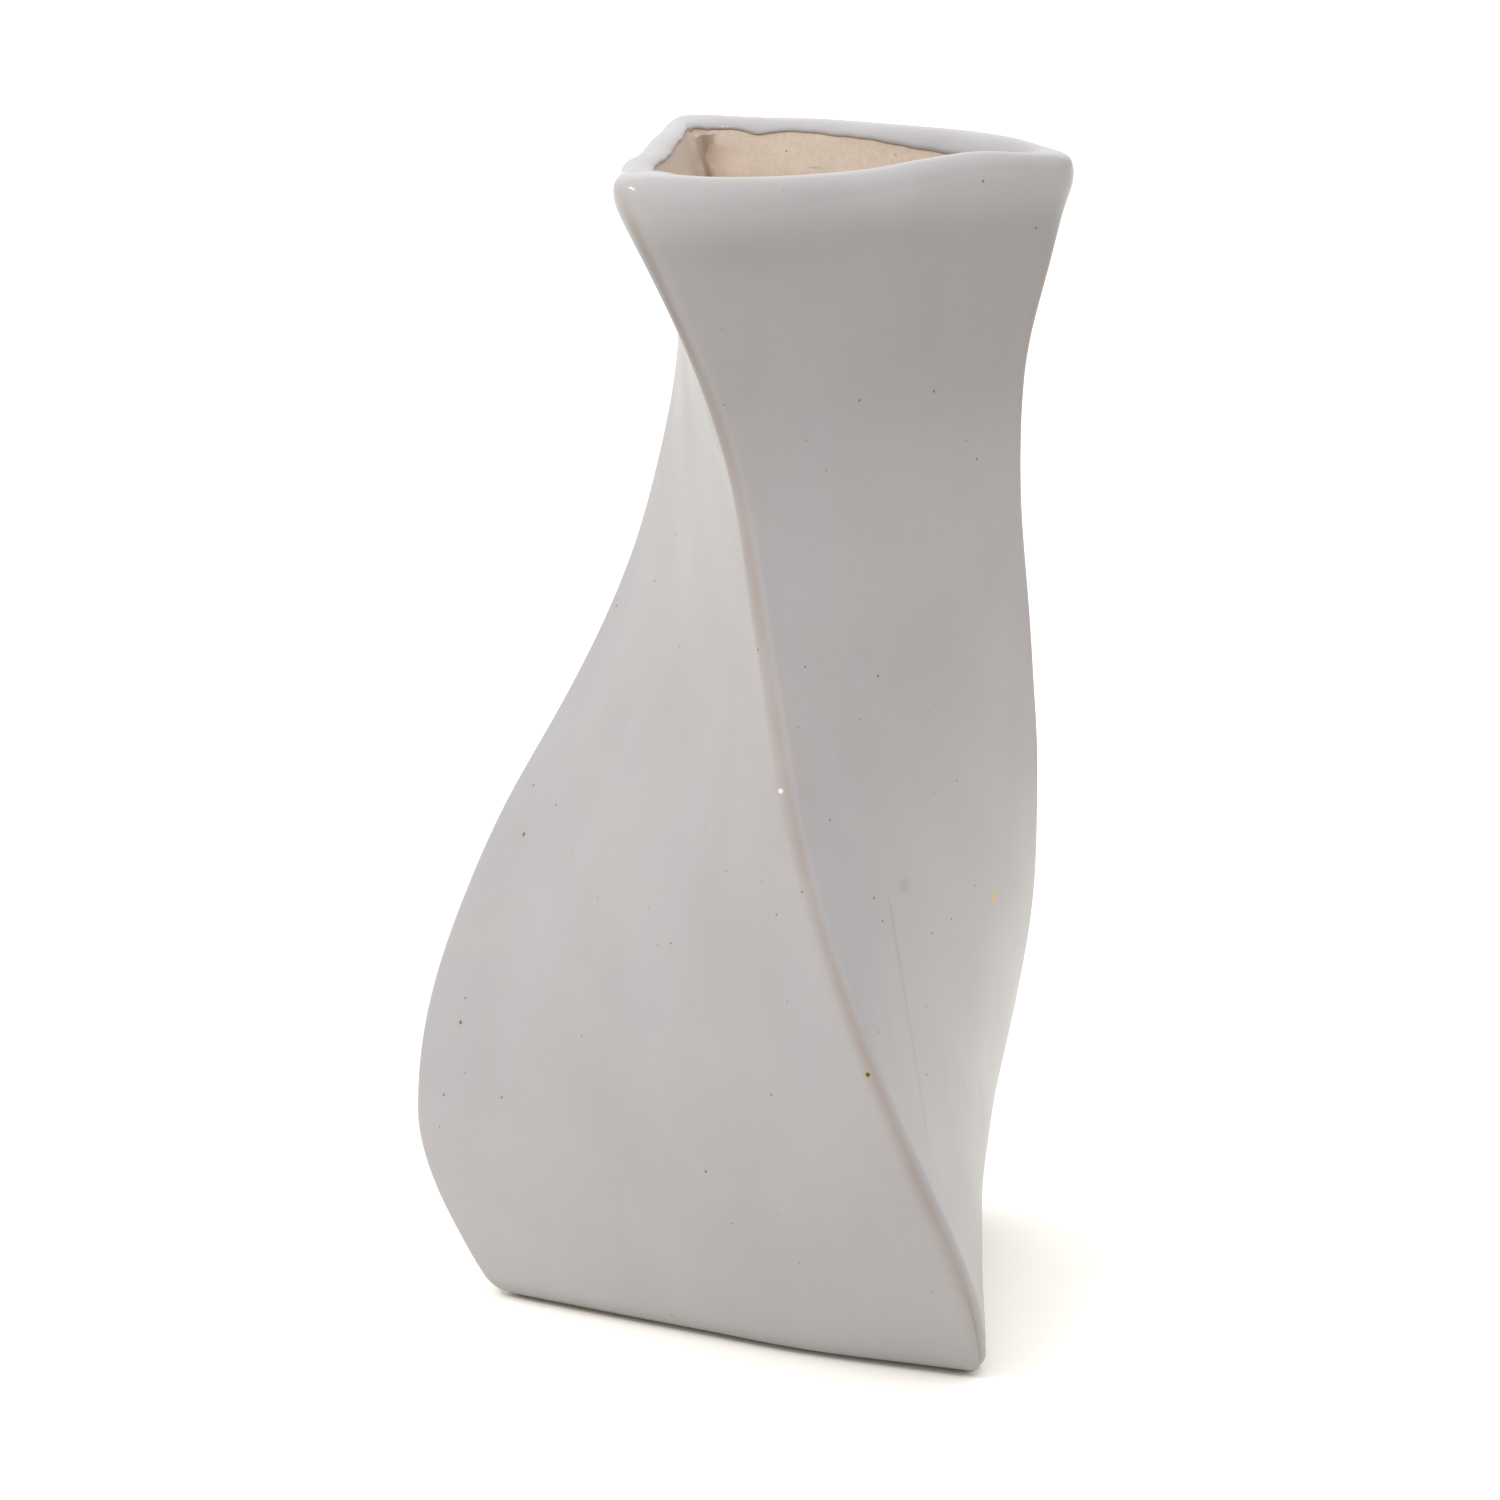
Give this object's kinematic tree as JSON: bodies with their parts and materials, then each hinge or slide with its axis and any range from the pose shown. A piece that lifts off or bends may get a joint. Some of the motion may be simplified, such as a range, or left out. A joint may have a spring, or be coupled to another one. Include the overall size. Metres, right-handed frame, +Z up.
{
  "type": "flower vase",
  "caption": "Triangular ceramic flower vase, twisted on its way up from a wide belly to a narrow neck and a flared, rounded lip; hollow, for cut stems and water.",
  "frame": {"origin": "on the floor under the vase, at the centre of the foot's section before its sideways lean", "axes": "+Z up from foot to rim; the widest front face looks along -Y; +X to its right"},
  "size_m": [0.1124, 0.1134, 0.2017],
  "materials": {
    "bare_clay": "matt biscuit-fired clay with small dark specks",
    "glaze": "glossy pale grey-lilac glaze, thin and pinkish brown on the ridges"
  },
  "bodies": {
    "root": {"base_slab": "bare_clay", "wall_slab_front": "bare_clay", "wall_slab_right": "bare_clay", "wall_slab_rear": "bare_clay", "floor_coil": "bare_clay", "seam_coil_front_right": "bare_clay", "seam_coil_left": "bare_clay", "seam_coil_rear": "bare_clay", "lip_coil": "bare_clay", "glaze_coat": "glaze"}
  },
  "joints": []
}
